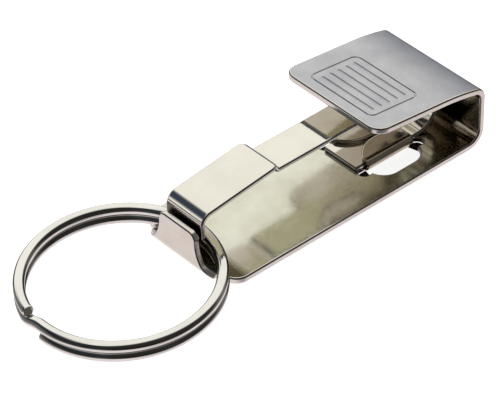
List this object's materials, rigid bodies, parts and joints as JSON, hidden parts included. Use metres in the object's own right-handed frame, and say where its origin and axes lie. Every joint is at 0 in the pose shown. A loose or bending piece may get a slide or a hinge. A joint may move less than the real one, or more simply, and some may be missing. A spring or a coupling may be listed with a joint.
{
  "type": "belt key clip",
  "caption": "Sprung metal clip for a trouser belt: a folded plate with a flap, a spring gate that shuts an upturned hook, and a split ring for keys.",
  "frame": {"origin": "centre of the whole object's length and width, at the height of the back plate's underside", "axes": "+X from the split ring towards the fold that sits over the belt's edge, +Y across the clip, +Z from the back plate up to the flap"},
  "size_m": [0.096, 0.038, 0.0167],
  "materials": {
    "plated_sheet": "bright nickel plate on pressed sheet steel, satin on the flap",
    "plated_spring": "bright nickel plate on spring steel strip",
    "plated_wire": "bright nickel plate on lightly flattened steel wire"
  },
  "bodies": {
    "clip": {"body_clip": "plated_sheet", "spring_leaf": "plated_spring"},
    "gate": {"gate_arm": "plated_spring"},
    "ring": {"split_ring": "plated_wire"}
  },
  "joints": [
    {"name": "gate_flex", "type": "hinge", "parent": "clip", "child": "gate", "pos_m": [0.03897, 0, 0.0114], "axis": [0, 1, 0], "range_deg": [-3.5, 8], "stiffness_Nm_per_rad": 2},
    {"name": "ring_swing", "type": "hinge", "parent": "clip", "child": "ring", "pos_m": [-0.01103, 0, 0.00372], "axis": [0, 1, 0], "range_deg": [0, 150]}
  ]
}
